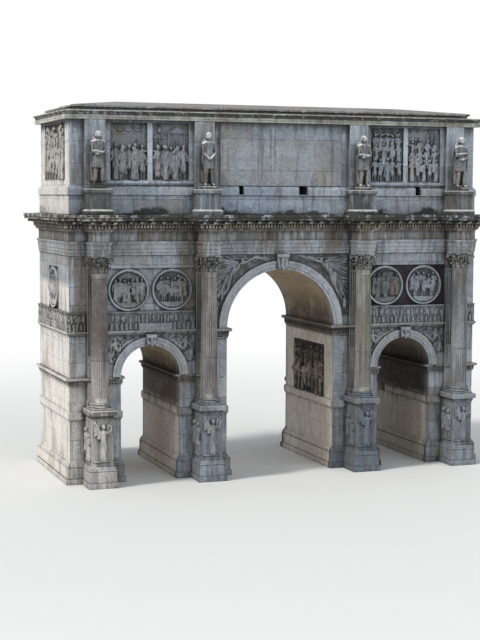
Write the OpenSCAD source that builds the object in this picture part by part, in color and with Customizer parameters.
// Three-bay triumphal arch of marble-faced masonry.
// X runs along the front, Y into the depth and Z up; the origin is the middle of the plan at ground level.

/* [Body] */
// Width of the main block, wall face to wall face
body_w = 24500; // [23800:50:25600]
// Depth of the main block, wall face to wall face
body_d = 7400; // [7000:50:8200]
// Height of the piers and arch walls, ground to architrave
wall_h = 12400; // [12350:10:12900]

/* [Openings] */
// Clear width of the middle opening
center_w = 6500; // [6100:20:6600]
// Springing height of the middle vault
center_spring_h = 8280; // [8100:10:8300]
// Clear width of each side opening
side_w = 3360; // [3100:20:3460]
// Springing height of the side vaults
side_spring_h = 5780; // [5500:10:5860]
// Distance from the middle to the axis of a side opening
side_x = 7700; // [7600:10:7900]
// Width of the middle archivolt band
center_archivolt_w = 500; // [360:10:520]
// Width of a side archivolt band
side_archivolt_w = 470; // [340:10:480]
// Projection of the archivolts
archivolt_out = 130; // [90:5:170]
// Height of the middle imposts
center_impost_h = 560; // [420:10:640]
// Height of the side imposts
side_impost_h = 440; // [340:10:520]
// Projection of the imposts
impost_out = 230; // [160:5:240]
// Projection of the side imposts on the fronts, where they are cut back
side_impost_front = 25; // [15:5:60]
// Width of a middle keystone at its top
center_key_w = 720; // [600:10:840]
// Width of a side keystone at its top
side_key_w = 600; // [480:10:680]
// Projection of the keystones at their top
key_out = 360; // [260:10:420]

/* [Pedestals] */
// Height of the ground step under the piers
step_h = 300; // [200:10:400]
// Height of the plinth above the step
plinth_h = 600; // [500:10:700]
// Height of the base moulding above the plinth
base_mould_h = 400; // [300:10:480]
// Projection of the base moulding
base_out = 170; // [120:5:200]
// Further projection of the ground step
step_out = 70; // [40:5:90]
// Width of a pedestal die
pedestal_w = 1150; // [1080:10:1240]
// Height of the pedestals, ground to column base
pedestal_h = 4200; // [4050:10:4300]
// Height of the pedestal cornice
pedestal_cap_h = 430; // [340:10:500]
// Projection of the pedestal cornice
pedestal_cap_out = 190; // [140:5:220]
// Height of the top of the band round the piers
band_top_h = 3960; // [3900:10:4000]
// Height of the band round the piers
band_h = 500; // [380:10:560]
// Projection of the band round the piers
band_out = 80; // [50:5:110]

/* [Columns] */
// Distance of the column axis from the wall
column_out = 1000; // [960:10:1060]
// Shaft diameter at the bottom
column_d = 960; // [900:10:1000]
// Shaft diameter at the top
column_top_d = 850; // [800:10:880]
// Height of the rods that fill the lower flutes of a column
rod_h = 2250; // [1800:10:2600]
// Height of a column base
column_base_h = 380; // [300:10:440]
// Height of a column capital
capital_h = 920; // [840:10:980]
// Width of a pilaster
pilaster_w = 940; // [860:10:980]
// Height of the plain foot of a pilaster's shaft
pilaster_plain_h = 2400; // [2000:10:2800]
// Projection of a pilaster
pilaster_out = 170; // [130:5:190]
// Projection of a pilaster's base beyond its shaft
pilaster_base_out = 80; // [60:5:100]

/* [Entablature] */
// Height of the architrave
architrave_h = 760; // [680:10:820]
// Height of the plain frieze
frieze_h = 500; // [420:10:560]
// Height of the bed moulding
bed_h = 230; // [180:10:260]
// Height of the dentil course
dentil_h = 190; // [150:5:220]
// Width of a dentil
dentil_w = 105; // [90:5:120]
// Spacing of the dentils
dentil_pitch = 175; // [150:5:220]
// Height of the modillion course
modillion_h = 220; // [180:10:260]
// Width of a modillion
modillion_w = 190; // [150:10:220]
// Spacing of the modillions
modillion_pitch = 620; // [560:10:760]
// Height of the corona and cyma above the modillions
crown_h = 320; // [260:10:380]
// Projection of the main cornice
cornice_out = 800; // [760:10:860]

/* [Carved panels] */
// Diameter of a roundel with its frame
roundel_d = 2300; // [2100:10:2340]
// Width of the ring frame of a roundel
roundel_ring_w = 165; // [150:5:220]
// Distance between the axes of the two roundels of a bay
roundel_gap = 2480; // [2420:10:2520]
// Depth of the recess behind the roundels
recess_d = 100; // [70:5:130]
// Thickness of the dark veneer slabs
veneer_t = 40; // [25:5:50]
// Height of the carved band under the roundels
relief_band_h = 1060; // [900:10:1080]
// Thickness of the carved band
relief_band_t = 60; // [40:5:90]
// Clearance of the ledge above the side archivolts
ledge_gap = 150; // [60:10:200]
// Height of the ledge under the carved band
ledge_h = 200; // [140:10:240]
// Projection of the ledge
ledge_out = 150; // [110:5:180]
// Height of the large carved panels in the middle passage
passage_panel_h = 3060; // [2800:20:3200]
// Width of the large carved panels in the middle passage
passage_panel_w = 4700; // [4400:20:5000]
// Depth of the recess of the passage panels
passage_recess_d = 160; // [120:10:200]

/* [Attic] */
// Width of the attic
attic_w = 24300; // [23600:50:24700]
// Depth of the attic
attic_d = 7200; // [6900:50:7600]
// Thickness of the attic walls
attic_wall_t = 1200; // [1000:20:1500]
// Height of the attic base course
attic_base_h = 1600; // [1500:10:1700]
// Height of the attic wall above its base course
attic_wall_h = 3500; // [3400:10:3700]
// Height of the attic cornice
attic_cornice_h = 490; // [430:10:540]
// Projection of the attic cornice
attic_cornice_out = 400; // [360:10:440]
// Width of the attic piers behind the statues
attic_pier_w = 1140; // [1040:10:1240]
// Projection of the attic piers
attic_pier_out = 280; // [220:10:300]
// Width of a carved attic panel
attic_panel_w = 2080; // [1960:10:2120]
// Height of a carved attic panel
attic_panel_h = 3120; // [3000:10:3140]
// Distance between the axes of the two attic panels of a bay
attic_panel_gap = 2360; // [2340:10:2400]
// Height of the sill under the carved attic panels
attic_sill_h = 250; // [200:10:300]
// Width of the plain border beside a carved end panel
end_panel_margin = 1100; // [1000:20:1500]
// Depth of the recess of the attic panels
attic_recess_d = 150; // [120:10:200]
// Projection of the frames round the attic panels
attic_frame_out = 60; // [40:5:90]
// Width of the blank inscription panel
inscription_w = 7300; // [6800:20:7600]
// Projection of the blank inscription panel
inscription_out = 60; // [40:5:90]
// Height of the set-back course under the roof's edge
roof_gap_h = 190; // [140:10:240]
// Thickness of the roof slab at its edge
roof_h = 100; // [80:5:150]
// Rise of the roof slab from its edge to its ridge
roof_rise = 400; // [300:10:480]
// Distance of the roof slab's edge behind the attic wall face
roof_set = 150; // [100:10:250]
// Height of the small openings in the attic base course
vent_h = 500; // [400:10:560]

/* [Statues] */
// Height of a statue above its pedestal
statue_h = 3100; // [2950:10:3200]
// Height of a statue pedestal
statue_pedestal_h = 1380; // [1300:10:1440]
// Width of a statue pedestal's die
statue_pedestal_w = 1200; // [1120:10:1260]
// Distance of a statue pedestal's front from the attic wall
statue_pedestal_out = 1330; // [1280:10:1400]
// Width of the plinth under a statue
plinth_w = 820; // [760:10:900]
// Depth of the plinth under a statue
plinth_d = 700; // [640:10:760]
// Thickness of the plinth under a statue
plinth_t = 170; // [130:10:200]
// Distance of the statue axis from the attic wall
statue_out = 950; // [900:10:1000]

/* [Hidden] */

$fn = 96;
half_w = body_w / 2;
half_d = body_d / 2;

// Piers
inner_x0 = center_w / 2;
inner_x1 = side_x - side_w / 2;
outer_x0 = side_x + side_w / 2;
inner_x = (inner_x0 + inner_x1) / 2;
outer_x = (outer_x0 + half_w) / 2;
inner_w = inner_x1 - inner_x0;
outer_w = half_w - outer_x0;
column_xs = [-outer_x, -inner_x, inner_x, outer_x];
base_h = step_h + plinth_h + base_mould_h;

// Entablature plan: one projecting block over each column, front and back
ressaut_w = column_top_d;
ressaut_d = body_d + 2 * (column_out + ressaut_w / 2);

// Levels
z_frieze = wall_h + architrave_h;
z_bed = z_frieze + frieze_h;
z_dentil = z_bed + bed_h;
z_modillion = z_dentil + dentil_h;
z_crown = z_modillion + modillion_h;
z_attic = z_crown + crown_h;
z_attic_wall = z_attic + attic_base_h;
z_attic_cornice = z_attic_wall + attic_wall_h;
z_roof = z_attic_cornice + attic_cornice_h;
z_statue = z_attic + statue_pedestal_h;
z_ledge = side_spring_h + side_w / 2 + side_archivolt_w + ledge_gap;
z_relief = z_ledge + ledge_h;
z_recess = z_relief + relief_band_h;
z_roundel = z_recess + roundel_d / 2 + 20;
recess_h = roundel_d + 60;

// Cornice projections, from the wall inwards to the crown
bed_out = 200;
dentil_out = 290;
modillion_back = 320;
corona_out = cornice_out - 60;

// Bays between the pilasters
bay_x0 = inner_x + pilaster_w / 2;
bay_x1 = outer_x - pilaster_w / 2;

// Attic plan
attic_half_w = attic_w / 2;
attic_half_d = attic_d / 2;
room_w = attic_w - 2 * attic_wall_t;
room_d = attic_d - 2 * attic_wall_t;
attic_band_out = 150;
vent_z = z_attic_wall - vent_h;
// Small openings of the attic base course: axis and width
vents = [[-2430, 280], [1300, 540], [8510, 350]];

// Colours
marble = [0.78, 0.77, 0.74];
shaft_marble = [0.80, 0.74, 0.62];
dark_stone = [0.28, 0.20, 0.24];
crust = [0.42, 0.38, 0.31];
figure_marble = [0.72, 0.71, 0.67];
roof_stone = [0.72, 0.66, 0.60];

// Outline of a moulding seen from the side: profile points are [projection, height]
function moulding_outline(half, profile) = concat(
  [for (p = profile) [half + p[0], p[1]]],
  [for (i = [len(profile) - 1:-1:0]) [-half - profile[i][0], profile[i][1]]]
);

// Points of an arc from angle a0 to a1, without its first point
function arc(cx, cy, r, a0, a1, n) = [
  for (i = [1:n]) [cx + r * cos(a0 + (a1 - a0) * i / n), cy + r * sin(a0 + (a1 - a0) * i / n)]
];

// Block w by d with the same moulding on all four sides, mitred at its corners
module moulded(w, d, profile) {
  reach = max([for (p = profile) p[0]]) + 50;
  intersection() {
    rotate([90, 0, 0])
      linear_extrude(d + 2 * reach, center = true) polygon(moulding_outline(w / 2, profile));
    rotate([90, 0, 90])
      linear_extrude(w + 2 * reach, center = true) polygon(moulding_outline(d / 2, profile));
  }
}

// Box from its middle in X and Y and its lowest and highest Z
module block(w, d, z0, z1) {
  translate([-w / 2, -d / 2, z0]) cube([w, d, z1 - z0]);
}

// The same shape at both sides of the middle
module both_sides() {
  children();
  mirror([1, 0, 0]) children();
}

// The same shape at the front and at the back
module front_and_back() {
  children();
  mirror([0, 1, 0]) children();
}

// Profiles
base_profile = concat(
  [[base_out + step_out, 0], [base_out + step_out, step_h], [base_out, step_h],
   [base_out, step_h + plinth_h]],
  arc(base_out - 60, step_h + plinth_h + 60, 60, -90, 90, 6),
  [[base_out - 60, step_h + plinth_h + 150]],
  arc(base_out - 50, base_h - 40, base_out - 50, -90, -180, 5),
  [[0, base_h]]
);
pedestal_cap_profile = concat(
  [[0, pedestal_h - pedestal_cap_h], [30, pedestal_h - pedestal_cap_h],
   [30, pedestal_h - pedestal_cap_h + 50]],
  arc(130, pedestal_h - pedestal_cap_h + 60, 100, 180, 90, 5),
  [[pedestal_cap_out, pedestal_h - pedestal_cap_h + 160], [pedestal_cap_out, pedestal_h - 60],
   [pedestal_cap_out - 40, pedestal_h]]
);
band_profile = [
  [0, band_top_h - band_h], [band_out * 0.5, band_top_h - band_h],
  [band_out * 0.5, band_top_h - band_h + 60],
  [band_out, band_top_h - band_h + 90], [band_out, band_top_h - 60], [0, band_top_h]
];
function impost_profile(top, h) = concat(
  [[0, top - h], [50, top - h], [50, top - h * 0.78], [85, top - h * 0.78], [85, top - h * 0.56]],
  arc(85 + (impost_out - 105), top - h * 0.5, impost_out - 105, 180, 90, 4),
  [[impost_out, top - h * 0.3], [impost_out, top], [0, top]]
);
architrave_profile = [
  [40, wall_h], [40, wall_h + architrave_h * 0.22],
  [62, wall_h + architrave_h * 0.22], [62, wall_h + architrave_h * 0.48],
  [84, wall_h + architrave_h * 0.48], [84, wall_h + architrave_h * 0.78],
  [104, wall_h + architrave_h * 0.80], [140, wall_h + architrave_h * 0.90], [140, z_frieze]
];
frieze_profile = concat(
  [[40, z_frieze], [40, z_bed], [70, z_bed]],
  arc(70, z_dentil - bed_h * 0.16, bed_out - 70, -90, 0, 6),
  [[bed_out, z_dentil]]
);
crown_profile = concat(
  [[modillion_back, z_modillion], [modillion_back, z_crown], [corona_out, z_crown],
   [corona_out, z_crown + crown_h * 0.42], [corona_out + 12, z_crown + crown_h * 0.46]],
  arc(corona_out + 12, z_crown + crown_h * 0.66, crown_h * 0.2, -90, -40, 3),
  [[cornice_out, z_crown + crown_h * 0.86], [cornice_out, z_attic - 10], [cornice_out - 60, z_attic]]
);
attic_base_profile = [
  [90, z_attic], [90, z_attic_wall - 560], [attic_band_out, z_attic_wall - 540],
  [attic_band_out, z_attic_wall - 190], [0, z_attic_wall]
];
// Plain fascia in front of the attic piers, then a hollow under a thin lip
attic_fascia_out = attic_pier_out + 10;
attic_hollow_r = attic_cornice_h * 0.22;
attic_cornice_profile = concat(
  [[attic_fascia_out, z_attic_cornice], [attic_fascia_out, z_attic_cornice + attic_cornice_h * 0.46],
   [attic_fascia_out - 50, z_attic_cornice + attic_cornice_h * 0.48],
   [attic_cornice_out - 15 - attic_hollow_r, z_attic_cornice + attic_cornice_h * 0.6]],
  arc(attic_cornice_out - 15, z_attic_cornice + attic_cornice_h * 0.6, attic_hollow_r, 180, 90, 6),
  [[attic_cornice_out, z_attic_cornice + attic_cornice_h * 0.84],
   [attic_cornice_out, z_roof - 15], [attic_cornice_out - 60, z_roof]]
);
statue_pedestal_profile = [
  [110, z_attic], [110, z_attic + 190], [0, z_attic + 290], [0, z_statue - 270],
  [80, z_statue - 200], [80, z_statue - 40], [50, z_statue]
];

// Piers and their bases
module pedestal_plan(profile) {
  moulded(pedestal_w, body_d + 2 * (column_out + pedestal_w / 2), profile);
}

module pier_bases() {
  color(marble)
  both_sides() {
    translate([inner_x, 0, 0]) {
      moulded(inner_w, body_d, base_profile);
      pedestal_plan(base_profile);
    }
    translate([outer_x, 0, 0]) {
      moulded(outer_w, body_d, base_profile);
      pedestal_plan(base_profile);
    }
  }
}

// Recess behind the two roundels of a side bay, front and back
module bay_recess() {
  both_sides() front_and_back()
    translate([bay_x0, -half_d - 10, z_recess]) cube([bay_x1 - bay_x0, recess_d + 10, recess_h]);
}

module end_recess() {
  both_sides()
    translate([half_w - recess_d, -recess_h / 2, z_recess]) cube([recess_d + 10, recess_h, recess_h]);
}

module passage_recess() {
  both_sides()
    translate([inner_x0 - 10, -passage_panel_w / 2, band_top_h])
      cube([passage_recess_d + 10, passage_panel_w, passage_panel_h]);
}

module inner_pier() {
  difference() {
    translate([inner_x, 0, 0]) block(inner_w, body_d, base_h, wall_h);
    bay_recess();
    passage_recess();
  }
}

module outer_pier() {
  difference() {
    translate([outer_x, 0, 0]) block(outer_w, body_d, base_h, wall_h);
    bay_recess();
    end_recess();
  }
}

module outer_left_pier() { color(marble) mirror([1, 0, 0]) outer_pier(); }
module inner_left_pier() { color(marble) mirror([1, 0, 0]) inner_pier(); }
module inner_right_pier() { color(marble) inner_pier(); }
module outer_right_pier() { color(marble) outer_pier(); }

// Masonry over an opening, with its barrel vault
module arch_wall(w, spring) {
  difference() {
    block(w, body_d, spring, wall_h);
    translate([0, 0, spring]) rotate([90, 0, 0]) cylinder(h = body_d + 20, d = w, center = true);
  }
}

module side_arch_wall() {
  difference() {
    translate([side_x, 0, 0]) arch_wall(side_w, side_spring_h);
    bay_recess();
  }
}

module left_arch_wall() { color(marble) mirror([1, 0, 0]) side_arch_wall(); }
module center_arch_wall() { color(marble) arch_wall(center_w, center_spring_h); }
module right_arch_wall() { color(marble) side_arch_wall(); }

// Bands and imposts wrap the piers and stop at what stands in front of them
module inner_core() { translate([inner_x, 0, 0]) block(inner_w, body_d, 0, wall_h); }
module outer_core() { translate([outer_x, 0, 0]) block(outer_w, body_d, 0, wall_h); }

module pilaster_envelope(x) {
  translate([x, 0, 0]) block(pilaster_w, body_d + 2 * pilaster_out, 0, wall_h);
}

// Where the bases of the pilasters stand
module pilaster_feet(x) {
  translate([x, 0, 0])
    block(pilaster_w + 2 * pilaster_base_out, body_d + 2 * (pilaster_out + pilaster_base_out),
      pedestal_h, pedestal_h + column_base_h);
}

module pedestal_bodies(x) {
  translate([x, 0, 0]) {
    block(pedestal_w, body_d + 2 * column_out + pedestal_w, base_h, pedestal_h - pedestal_cap_h);
    pedestal_plan(pedestal_cap_profile);
  }
}

module pier_bands() {
  color(marble)
  both_sides() {
    difference() {
      translate([inner_x, 0, 0]) moulded(inner_w, body_d, band_profile);
      inner_core();
      pedestal_bodies(inner_x);
      pilaster_feet(inner_x);
    }
    difference() {
      translate([outer_x, 0, 0]) moulded(outer_w, body_d, band_profile);
      outer_core();
      pedestal_bodies(outer_x);
      pilaster_feet(outer_x);
    }
  }
}

// The fronts of the side imposts between the pilasters
module impost_cut() {
  front_and_back() translate([bay_x0, -half_d - side_impost_front - impost_out, 0])
    cube([bay_x1 - bay_x0, impost_out, wall_h]);
}

module side_imposts() {
  color(marble)
  both_sides() {
    difference() {
      translate([inner_x, 0, 0]) moulded(inner_w, body_d, impost_profile(side_spring_h, side_impost_h));
      inner_core();
      pilaster_envelope(inner_x);
      translate([inner_x0 - inner_w / 2, 0, 0]) block(2 * inner_w, 2 * body_d, 0, wall_h);
      impost_cut();
    }
    difference() {
      translate([outer_x, 0, 0]) moulded(outer_w, body_d, impost_profile(side_spring_h, side_impost_h));
      outer_core();
      pilaster_envelope(outer_x);
      impost_cut();
    }
  }
}

module center_imposts() {
  color(marble)
  both_sides()
    difference() {
      translate([inner_x, 0, 0]) moulded(inner_w, body_d, impost_profile(center_spring_h, center_impost_h));
      inner_core();
      pilaster_envelope(inner_x);
      translate([inner_x1 + inner_w / 2, 0, 0]) block(2 * inner_w, 2 * body_d, 0, wall_h);
    }
}

// Wedge of a keystone: widest at its top, with an S-curved front
module keystone(r, key_w, z0, z1) {
  top_half = key_w / 2;
  foot_half = top_half * 0.72;
  front = concat(
    [[0, z0 + 10], [key_out * 0.45, z0 + 10]],
    arc(key_out * 0.45, z0 + 130, 120, -90, 20, 5),
    [[key_out * 0.62, z0 + (z1 - z0) * 0.55], [key_out * 0.7, z1 - 190]],
    arc(key_out - 110, z1 - 110, 110, -90, 90, 6),
    [[0, z1]]
  );
  translate([0, -half_d, 0]) intersection() {
    rotate([90, 0, 0]) linear_extrude(4 * key_out, center = true)
      polygon([[-foot_half, z0], [foot_half, z0], [top_half, z1], [-top_half, z1]]);
    rotate([90, 0, 90]) mirror([1, 0, 0]) linear_extrude(2 * key_w, center = true) polygon(front);
  }
}

module side_key() { keystone(side_w / 2, side_key_w, side_spring_h + side_w / 2, z_ledge); }
module center_key() { keystone(center_w / 2, center_key_w, center_spring_h + center_w / 2, wall_h); }

module keystones() {
  color(marble)
  front_and_back() {
    center_key();
    both_sides() translate([side_x, 0, 0]) side_key();
  }
}

// Moulded ring round an arch: fascia, roll and outer fillet
module archivolt(r, w, spring) {
  section = concat(
    [[r, 0], [r, archivolt_out * 0.45], [r + w * 0.3, archivolt_out * 0.45],
     [r + w * 0.3, archivolt_out * 0.65], [r + w * 0.62, archivolt_out * 0.65]],
    [[r + w * 0.7, archivolt_out * 0.85], [r + w * 0.84, archivolt_out], [r + w, archivolt_out], [r + w, 0]]
  );
  translate([0, -half_d, spring]) rotate([90, 0, 0]) rotate_extrude(angle = 180, $fn = 240) polygon(section);
}

module side_archivolts() {
  color(marble)
  front_and_back() both_sides()
    translate([side_x, 0, 0]) difference() {
      archivolt(side_w / 2, side_archivolt_w, side_spring_h);
      side_key();
    }
}

module center_archivolts() {
  color(marble)
  front_and_back() difference() {
    archivolt(center_w / 2, center_archivolt_w, center_spring_h);
    center_key();
  }
}

// Pedestals, columns and pilasters
module pedestals() {
  color(marble)
  difference() {
    for (x = column_xs) pedestal_bodies(x);
    block(body_w, body_d, 0, wall_h);
  }
}

module at_columns() {
  front_and_back() for (x = column_xs) translate([x, -half_d - column_out, 0]) children();
}

column_base_d = column_d + 230;
leaf_count = 8;
leaf_t = 45;
volute_r = 95;
volute_w = 110;

module column_bases() {
  color(marble)
  at_columns() translate([0, 0, pedestal_h]) {
    block(column_base_d, column_base_d, 0, column_base_h * 0.3);
    rotate_extrude() polygon(concat(
      [[0, column_base_h * 0.3], [column_base_d / 2 - 50, column_base_h * 0.3]],
      arc(column_base_d / 2 - 50, column_base_h * 0.44, column_base_h * 0.14, -90, 90, 8),
      [[column_d / 2 + 55, column_base_h * 0.62], [column_d / 2 + 50, column_base_h * 0.74]],
      arc(column_d / 2 + 50, column_base_h * 0.84, column_base_h * 0.1, -90, 90, 6),
      [[column_d / 2 + 25, column_base_h * 0.94], [column_d / 2 + 25, column_base_h], [0, column_base_h]]
    ));
  }
}

shaft_z = pedestal_h + column_base_h;
shaft_h = wall_h - capital_h - shaft_z;
flute_count = 24;
flute_collar = 260;
// The fluted part stays this much inside its collars
flute_inset = 5;
// Where a flute is measured across its width, and how deep it is there as a share of the radius
flute_places = [0.12, 0.3, 0.5, 0.7, 0.88];
flute_cuts = [0, 0.06, 0.08, 0.06, 0];
rod_cuts = [0, 0.05, 0.01, 0.05, 0];

// Section of a fluted shaft: a circle with channels
function flute_point(r, i, k, cuts) =
  let (a = 360 / flute_count * (i + flute_places[k] - 0.5))
  r * (1 - cuts[k]) * [cos(a), sin(a)];

// Radius of the fluted part at a height of the shaft
shaft_taper = (column_d - column_top_d) / 2;
function shaft_r(z) =
  column_d / 2 - flute_inset - shaft_taper * (z - flute_collar) / (shaft_h - 2 * flute_collar);

module fluted_part(z0, z1, cuts) {
  r = shaft_r(z0);
  translate([0, 0, z0]) linear_extrude(z1 - z0, scale = shaft_r(z1) / r)
    polygon([for (i = [0:flute_count - 1]) for (k = [0:4]) flute_point(r, i, k, cuts)]);
}

module column_shaft() {
  collar_top = shaft_h - flute_collar;
  rotate_extrude() polygon(concat(
    [[0, 0], [column_d / 2 + 20, 0], [column_d / 2 + 20, 40], [column_d / 2, 100]],
    [[column_d / 2, flute_collar], [0, flute_collar]]
  ));
  fluted_part(flute_collar, rod_h, rod_cuts);
  fluted_part(rod_h, collar_top, flute_cuts);
  translate([0, 0, collar_top]) rotate_extrude() polygon([
    [0, 0], [column_top_d / 2, 0], [column_top_d / 2, flute_collar - 90],
    [column_top_d / 2 + 30, flute_collar - 60], [column_top_d / 2 + 30, flute_collar], [0, flute_collar]
  ]);
}

module column_shafts() {
  color(shaft_marble)
  at_columns() translate([0, 0, shaft_z]) column_shaft();
}

// Square abacus with hollow sides
module abacus(w, h) {
  linear_extrude(h) difference() {
    square(w, center = true);
    for (a = [0:90:270]) rotate(a) translate([0, -w * 1.32]) circle(r = w * 0.92, $fn = 48);
  }
}

// Pointed leaf with a curled tip, cut from a side profile; it grows towards -Y
module leaf(w, h, reach) {
  intersection() {
    rotate([90, 0, 90]) mirror([1, 0]) linear_extrude(w, center = true) polygon(concat(
      [[-leaf_t, 0], [leaf_t * 0.5, 0], [leaf_t * 0.7, h * 0.6]],
      arc(reach - leaf_t, h - leaf_t, leaf_t, -60, 90, 3),
      [[0, h * 0.98], [-leaf_t, h * 0.9]]
    ));
    rotate([90, 0, 0]) linear_extrude(4 * reach, center = true) polygon([
      [-w * 0.42, 0], [w * 0.42, 0], [w * 0.5, h * 0.4], [w * 0.2, h], [-w * 0.2, h], [-w * 0.5, h * 0.4]
    ]);
  }
}

// Scroll under a corner of the abacus, flat across the diagonal
module volute(r, w) {
  rotate([0, 90, 0]) cylinder(h = w, r = r, center = true);
}

module column_capital() {
  bell_h = capital_h * 0.86;
  top_r = column_top_d / 2;
  leaf_w = 2 * PI * top_r / leaf_count;
  rotate_extrude() polygon([
    [0, 0], [top_r, 0], [top_r - 20, capital_h * 0.3], [top_r + 10, capital_h * 0.62],
    [top_r + 110, bell_h], [0, bell_h]
  ]);
  translate([0, 0, bell_h]) abacus(column_top_d * 1.42, capital_h - bell_h);
  for (i = [0:leaf_count - 1]) {
    rotate(i * 360 / leaf_count) translate([0, -top_r + 25, 0])
      leaf(leaf_w * 0.96, capital_h * 0.36, capital_h * 0.17);
    rotate((i + 0.5) * 360 / leaf_count) translate([0, -top_r + 35, capital_h * 0.1])
      leaf(leaf_w * 0.7, capital_h * 0.54, capital_h * 0.21);
  }
  for (a = [45:90:315]) rotate(a) {
    translate([0, -column_top_d * 0.7, bell_h - volute_r]) volute(volute_r, volute_w);
    rotate([90, 0, 90]) mirror([1, 0]) linear_extrude(volute_w * 0.8, center = true) polygon([
      [top_r - 60, capital_h * 0.5], [top_r + 20, capital_h * 0.5],
      [column_top_d * 0.7, bell_h - volute_r * 1.2], [column_top_d * 0.7, bell_h], [top_r - 60, bell_h]
    ]);
  }
}

module column_capitals() {
  color(marble)
  at_columns() translate([0, 0, wall_h - capital_h]) column_capital();
}

module at_pilasters() {
  front_and_back() for (x = column_xs) translate([x, -half_d, 0]) children();
}

module pilaster_bases() {
  color(marble)
  at_pilasters() difference() {
    translate([0, 0, pedestal_h]) moulded(pilaster_w, 2 * pilaster_out, [
      [pilaster_base_out, 0], [pilaster_base_out, column_base_h * 0.4],
      [pilaster_base_out * 0.56, column_base_h * 0.5], [60, column_base_h * 0.75],
      [60, column_base_h * 0.88], [0, column_base_h]
    ]);
    translate([0, body_d / 2, 0]) block(2 * pilaster_w, body_d, 0, wall_h);
  }
}

module pilaster_shafts() {
  flutes = 7;
  pitch = pilaster_w / (flutes + 0.5);
  fluted_h = shaft_h - flute_collar / 2 - pilaster_plain_h;
  color(marble)
  at_pilasters() translate([0, 0, shaft_z]) difference() {
    translate([-pilaster_w / 2, -pilaster_out, 0]) cube([pilaster_w, pilaster_out, shaft_h]);
    for (i = [0:flutes - 1])
      translate([(i - (flutes - 1) / 2) * pitch, -pilaster_out, pilaster_plain_h])
        cylinder(h = fluted_h, d = pitch * 0.66, $fn = 24);
  }
}

module pilaster_capitals() {
  leaf_w = pilaster_w / 3;
  color(marble)
  at_pilasters() {
    difference() {
      translate([0, 0, wall_h - capital_h]) moulded(pilaster_w, 2 * pilaster_out, [
        [0, 0], [10, capital_h * 0.6], [50, capital_h * 0.84], [80, capital_h * 0.86], [80, capital_h]
      ]);
      translate([0, body_d / 2, 0]) block(2 * pilaster_w, body_d, 0, wall_h);
    }
    translate([0, -pilaster_out, wall_h - capital_h]) {
      for (i = [-1:1]) translate([i * leaf_w, 0, 0]) leaf(leaf_w * 0.96, capital_h * 0.36, 120);
      for (i = [-1, 0]) translate([(i + 0.5) * leaf_w, 0, capital_h * 0.1])
        leaf(leaf_w * 0.7, capital_h * 0.5, 150);
      for (i = [-1, 1]) translate([i * (pilaster_w / 2 - 40), -40, capital_h * 0.86 - volute_r])
        rotate([90, 0, 0]) cylinder(h = volute_w, r = volute_r, center = true, $fn = 32);
    }
  }
}

// Roundels: a disc sunk in a moulded ring frame
module roundel() {
  r = roundel_d / 2;
  roll_r = 60;
  disc_r = r - roundel_ring_w;
  disc_h = recess_d - 50;
  rotate_extrude() polygon(concat(
    [[0, 0], [r, 0], [r, recess_d + 20]],
    arc(r - roll_r, recess_d + 20, roll_r, 0, 180, 8),
    [[disc_r + 25, disc_h + 40], [disc_r, disc_h], [0, disc_h]]
  ));
}

module on_front(x, z) { translate([x, -half_d + recess_d, z]) rotate([90, 0, 0]) children(); }

module at_bay_roundels() {
  for (s = [-1, 1]) on_front(side_x + s * roundel_gap / 2, z_roundel) children();
}

module roundels() {
  color(figure_marble) {
    both_sides() front_and_back() at_bay_roundels() roundel();
    both_sides() translate([half_w - recess_d, 0, z_roundel]) rotate([90, 0, 90]) roundel();
  }
}

// Dark veneer survives in the right bay only
module porphyry_panels() {
  color(dark_stone)
  front_and_back() difference() {
    translate([bay_x0, -half_d + recess_d - veneer_t, z_recess])
      cube([bay_x1 - bay_x0, veneer_t, recess_h]);
    at_bay_roundels() cylinder(h = 2 * recess_d, d = roundel_d);
  }
}

// Carved band and ledge: in the bays between the pilasters and round the ends
module bay_strip(z0, h, out) {
  front_and_back() translate([bay_x0, -half_d - out, z0]) cube([bay_x1 - bay_x0, out, h]);
}

module end_strip(profile) {
  difference() {
    translate([outer_x, 0, 0]) moulded(outer_w, body_d, profile);
    outer_core();
    pilaster_envelope(outer_x);
    translate([outer_x - outer_w, 0, 0]) block(2 * outer_w, 2 * body_d, 0, wall_h);
  }
}

module relief_bands() {
  color(figure_marble)
  both_sides() {
    bay_strip(z_relief, relief_band_h, relief_band_t);
    end_strip([[relief_band_t, z_relief], [relief_band_t, z_recess]]);
  }
}

ledge_profile = [
  [ledge_out * 0.4, z_ledge], [ledge_out * 0.5, z_ledge + ledge_h * 0.4],
  [ledge_out, z_ledge + ledge_h * 0.6], [ledge_out, z_relief]
];

module relief_ledges() {
  color(marble)
  both_sides() {
    end_strip(ledge_profile);
    front_and_back() translate([bay_x0, -half_d, 0]) rotate([90, 0, 90]) mirror([1, 0, 0])
      linear_extrude(bay_x1 - bay_x0) polygon(concat([[0, z_ledge]], ledge_profile, [[0, z_relief]]));
  }
}

module passage_reliefs() {
  color(figure_marble)
  both_sides() translate([inner_x0 + passage_recess_d - 70, -passage_panel_w / 2, band_top_h])
    cube([70, passage_panel_w, passage_panel_h]);
}

// Entablature: every course follows the wall and breaks forward over the columns
module entablature_course(profile) {
  moulded(body_w, body_d, profile);
  for (x = column_xs) translate([x, 0, 0]) moulded(ressaut_w, ressaut_d, profile);
}

module architrave() { color(crust) entablature_course(architrave_profile); }
module frieze() { color(crust) entablature_course(frieze_profile); }
module main_cornice() { color(crust) entablature_course(crown_profile); }

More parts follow.
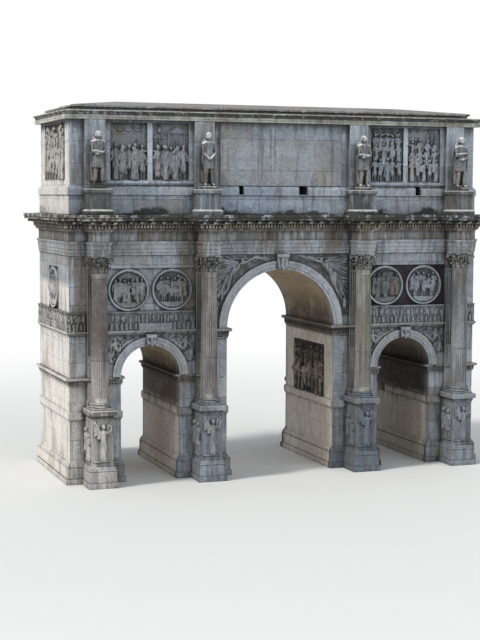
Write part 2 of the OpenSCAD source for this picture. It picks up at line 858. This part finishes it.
// Corners of the entablature's plan at a given projection, counter-clockwise
function front_corners(p) = concat(
  [[-half_w - p, -half_d - p]],
  [for (x = column_xs) for (c = [[-1, 0], [-1, 1], [1, 1], [1, 0]])
    [x + c[0] * (ressaut_w / 2 + p), c[1] == 1 ? -ressaut_d / 2 - p : -half_d - p]],
  [[half_w + p, -half_d - p]]
);
function plan_corners(p) = concat(front_corners(p), [for (c = front_corners(p)) -c]);
function turn(a, b, c) = (b[0] - a[0]) * (c[1] - b[1]) - (b[1] - a[1]) * (c[0] - b[0]);
function unit(v) = v / norm(v);

// One side of the dentil outline: a tooth on each outer corner and evenly spaced teeth between
function dentil_side(a, b, a_out, b_out, tooth) =
  let (
    u = unit(b - a), n = [u[1], -u[0]], len_ab = norm(b - a),
    start = a_out ? dentil_w / 2 : 0,
    stop = len_ab - (b_out ? dentil_w / 2 : 0),
    count = max(0, floor((stop - start) / dentil_pitch) - 1),
    gap = (stop - start) / (count + 1)
  )
  concat(
    a_out ? [a + u * start + n * tooth, a + u * start] : [a],
    [for (i = [1:1:count]) for (q = [[-1, 0], [-1, 1], [1, 1], [1, 0]])
      a + u * (start + i * gap + q[0] * dentil_w / 2) + n * q[1] * tooth],
    b_out ? [a + u * stop, a + u * stop + n * tooth, b + (u + n) * tooth] : []
  );

module dentil_outline(p, tooth) {
  c = plan_corners(p);
  k = len(c);
  polygon([for (i = [0:k - 1])
    each dentil_side(c[i], c[(i + 1) % k],
      turn(c[(i + k - 1) % k], c[i], c[(i + 1) % k]) > 0,
      turn(c[i], c[(i + 1) % k], c[(i + 2) % k]) > 0, tooth)]);
}

module dentil_course() {
  color(marble)
  translate([0, 0, z_dentil]) linear_extrude(dentil_h)
    dentil_outline(bed_out - 20, dentil_out - bed_out + 20);
}

// Scroll bracket under the corona: it hangs from the corona and backs on the modillion course
module modillion() {
  reach = corona_out - modillion_back - 70;
  rotate([90, 0, 90]) linear_extrude(modillion_w, center = true) mirror([1, 0]) polygon(concat(
    [[0, modillion_h * 0.05], [reach * 0.4, modillion_h * 0.25]],
    arc(reach - modillion_h * 0.25, modillion_h * 0.55, modillion_h * 0.3, -100, 60, 6),
    [[reach, modillion_h], [0, modillion_h]]
  ));
}

module modillions() {
  c = plan_corners(modillion_back);
  k = len(c);
  color(marble)
  for (i = [0:k - 1]) {
    a = c[i];
    b = c[(i + 1) % k];
    u = unit(b - a);
    margin = modillion_w / 2 + (turn(c[(i + k - 1) % k], a, b) > 0 ? 30 : 0);
    inner = turn(c[(i + k - 1) % k], a, b) > 0 && turn(a, b, c[(i + 2) % k]) > 0;
    len_ab = norm(b - a);
    usable = inner ? len_ab - 2 * margin : len_ab - modillion_w - corona_out + modillion_back;
    count = floor(usable / modillion_pitch);
    if (usable > 0)
      for (j = [0:1:count]) {
        s = (len_ab - count * modillion_pitch) / 2 + j * modillion_pitch;
        translate([a[0] + u[0] * s, a[1] + u[1] * s, z_modillion])
          rotate([0, 0, atan2(u[1], u[0])]) modillion();
      }
  }
}

// Attic
module attic_room() { block(room_w, room_d, z_attic - 10, z_attic_cornice + 10); }

module vent_cuts() {
  front_and_back() for (v = vents)
    translate([v[0] - v[1] / 2, -attic_half_d - attic_wall_t, vent_z])
      cube([v[1], 3 * attic_wall_t, vent_h + 10]);
}

module attic_base_course() {
  difference() {
    moulded(attic_w, attic_d, attic_base_profile);
    attic_room();
    vent_cuts();
  }
}

module front_half() {
  translate([0, -room_d / 2 - body_d / 2, 0]) block(2 * attic_w, body_d, 0, 2 * z_roof);
}

module attic_front_base() {
  color(marble) intersection() {
    attic_base_course();
    front_half();
  }
}

module attic_back_base() { mirror([0, 1, 0]) attic_front_base(); }

module attic_end_bases() {
  color(marble) intersection() {
    attic_base_course();
    block(2 * attic_w, room_d, 0, 2 * z_roof);
  }
}

// Places of the attic panels along the front
attic_panel_xs = [for (s = [-1, 1]) for (t = [-1, 1]) s * (side_x + t * attic_panel_gap / 2)];
attic_panel_z = z_attic_wall + attic_sill_h;
end_panel_w = attic_d - 2 * end_panel_margin;

module attic_panel_recesses() {
  for (x = attic_panel_xs)
    translate([x - attic_panel_w / 2, -attic_half_d - 2 * attic_frame_out, attic_panel_z])
      cube([attic_panel_w, attic_recess_d + 2 * attic_frame_out, attic_panel_h]);
  both_sides() translate([attic_half_w - attic_recess_d, -end_panel_w / 2, attic_panel_z])
    cube([attic_recess_d + 10, end_panel_w, attic_panel_h]);
}

// Raised frame round the two panels of a bay, with a sill under them
module attic_frame() {
  frame_x = inner_x + attic_pier_w / 2;
  frame_w = outer_x - inner_x - attic_pier_w;
  sill = [[0, z_attic_wall + 50], [attic_frame_out + 20, z_attic_wall + 50],
    [attic_frame_out + 70, z_attic_wall + 110], [attic_frame_out + 70, z_attic_wall + 190],
    [0, attic_panel_z]];
  translate([frame_x, -attic_half_d - attic_frame_out, z_attic_wall])
    cube([frame_w, attic_frame_out + 10, attic_wall_h]);
  translate([frame_x, -attic_half_d, 0]) rotate([90, 0, 90]) mirror([1, 0])
    linear_extrude(frame_w) polygon(sill);
}

module attic_front_wall() {
  color(marble) difference() {
    union() {
      translate([0, -(attic_half_d + room_d / 2) / 2, 0])
        block(attic_w, attic_wall_t, z_attic_wall, z_attic_cornice);
      both_sides() attic_frame();
    }
    attic_panel_recesses();
  }
}

module attic_back_wall() { mirror([0, 1, 0]) attic_front_wall(); }

module attic_end_walls() {
  color(marble) difference() {
    both_sides() translate([(attic_half_w + room_w / 2) / 2, 0, 0])
      block(attic_wall_t, room_d, z_attic_wall, z_attic_cornice);
    attic_panel_recesses();
  }
}

// Piers behind the statues, standing on the statue pedestals
module attic_piers() {
  color(marble) difference() {
    for (x = column_xs) translate([x, 0, 0])
      block(attic_pier_w, attic_d + 2 * attic_pier_out, z_statue, z_attic_cornice);
    block(2 * attic_w, attic_d, 0, 2 * z_roof);
    moulded(attic_w, attic_d, attic_base_profile);
  }
}

module attic_reliefs() {
  color(figure_marble) {
    front_and_back() for (x = attic_panel_xs)
      translate([x - attic_panel_w / 2, -attic_half_d + attic_recess_d - 60, attic_panel_z])
        cube([attic_panel_w, 60, attic_panel_h]);
    both_sides() translate([attic_half_w - attic_recess_d, -end_panel_w / 2, attic_panel_z])
      cube([60, end_panel_w, attic_panel_h]);
  }
}

module inscription_panels() {
  color(marble) front_and_back()
    translate([-inscription_w / 2, -attic_half_d - inscription_out, z_attic_wall])
      cube([inscription_w, inscription_out, attic_wall_h]);
}

module attic_cornice() {
  color(marble) moulded(attic_w, attic_d, attic_cornice_profile);
}

// Low hipped roof: its slab overhangs a set-back course and rises to a narrow ridge
module roof_slab() {
  edge_z = roof_gap_h + roof_h;
  ridge_in = attic_half_d - roof_set - 100;
  profile = [[-120, 0], [-120, roof_gap_h], [0, roof_gap_h], [0, edge_z], [-ridge_in, edge_z + roof_rise]];
  color(roof_stone)
    translate([0, 0, z_roof]) moulded(attic_w - 2 * roof_set, attic_d - 2 * roof_set, profile);
}

module statue_pedestals() {
  color(marble) difference() {
    for (x = column_xs) translate([x, 0, 0])
      moulded(statue_pedestal_w, attic_d + 2 * statue_pedestal_out, statue_pedestal_profile);
    moulded(attic_w, attic_d, attic_base_profile);
  }
}

// Thin oval slice, the end of a tapering limb or garment; places are shares of the statue's height
module oval(x, y, z, rx, ry) {
  translate(statue_h * [x, y, z]) linear_extrude(10) scale(statue_h * [rx, ry]) circle(r = 1, $fn = 8);
}

module joint_of_limb(x, y, z, r) {
  translate(statue_h * [x, y, z]) cube(statue_h * [1.4 * r, 1.4 * r, 1.6 * r], center = true);
}

// Standing captive in a knee-length tunic and a cloak, with crossed arms, on a plinth
module statue() {
  foot = plinth_t / statue_h;
  block(plinth_w, plinth_d, 0, plinth_t);
  for (s = [-1, 1]) {
    hull() {
      oval(s * 0.047, -0.007, foot, 0.032, 0.041);
      oval(s * 0.044, 0.003, 0.36, 0.041, 0.047);
    }
    hull() {
      joint_of_limb(s * 0.108, 0, 0.77, 0.034);
      joint_of_limb(s * 0.127, -0.024, 0.62, 0.031);
    }
    hull() {
      joint_of_limb(s * 0.127, -0.024, 0.62, 0.031);
      joint_of_limb(-s * 0.02, -0.092, 0.64 + 0.02 * s, 0.025);
    }
  }
  hull() {
    oval(0, 0, 0.34, 0.114, 0.081);
    oval(0, 0, 0.6, 0.09, 0.064);
    oval(0, 0.003, 0.79, 0.115, 0.058);
    oval(0, 0.003, 0.84, 0.041, 0.037);
  }
  hull() {
    oval(0, 0.064, foot, 0.119, 0.037);
    oval(0, 0.047, 0.8, 0.112, 0.034);
  }
  hull() {
    oval(0, 0, 0.84, 0.034, 0.034);
    translate([0, -10, statue_h * 0.925]) scale([0.8, 0.95, 1.1]) sphere(r = statue_h * 0.07, $fn = 8);
  }
}

module statues() {
  color(figure_marble) front_and_back() for (x = column_xs)
    translate([x, -attic_half_d - statue_out, z_statue]) statue();
}

pier_bases();
outer_left_pier();
inner_left_pier();
inner_right_pier();
outer_right_pier();
left_arch_wall();
center_arch_wall();
right_arch_wall();
pier_bands();
side_imposts();
center_imposts();
side_archivolts();
center_archivolts();
keystones();
pedestals();
column_bases();
column_shafts();
column_capitals();
pilaster_bases();
pilaster_shafts();
pilaster_capitals();
roundels();
porphyry_panels();
relief_bands();
relief_ledges();
passage_reliefs();
architrave();
frieze();
dentil_course();
modillions();
main_cornice();
attic_front_base();
attic_back_base();
attic_end_bases();
attic_front_wall();
attic_back_wall();
attic_end_walls();
attic_piers();
attic_reliefs();
inscription_panels();
attic_cornice();
roof_slab();
statue_pedestals();
statues();
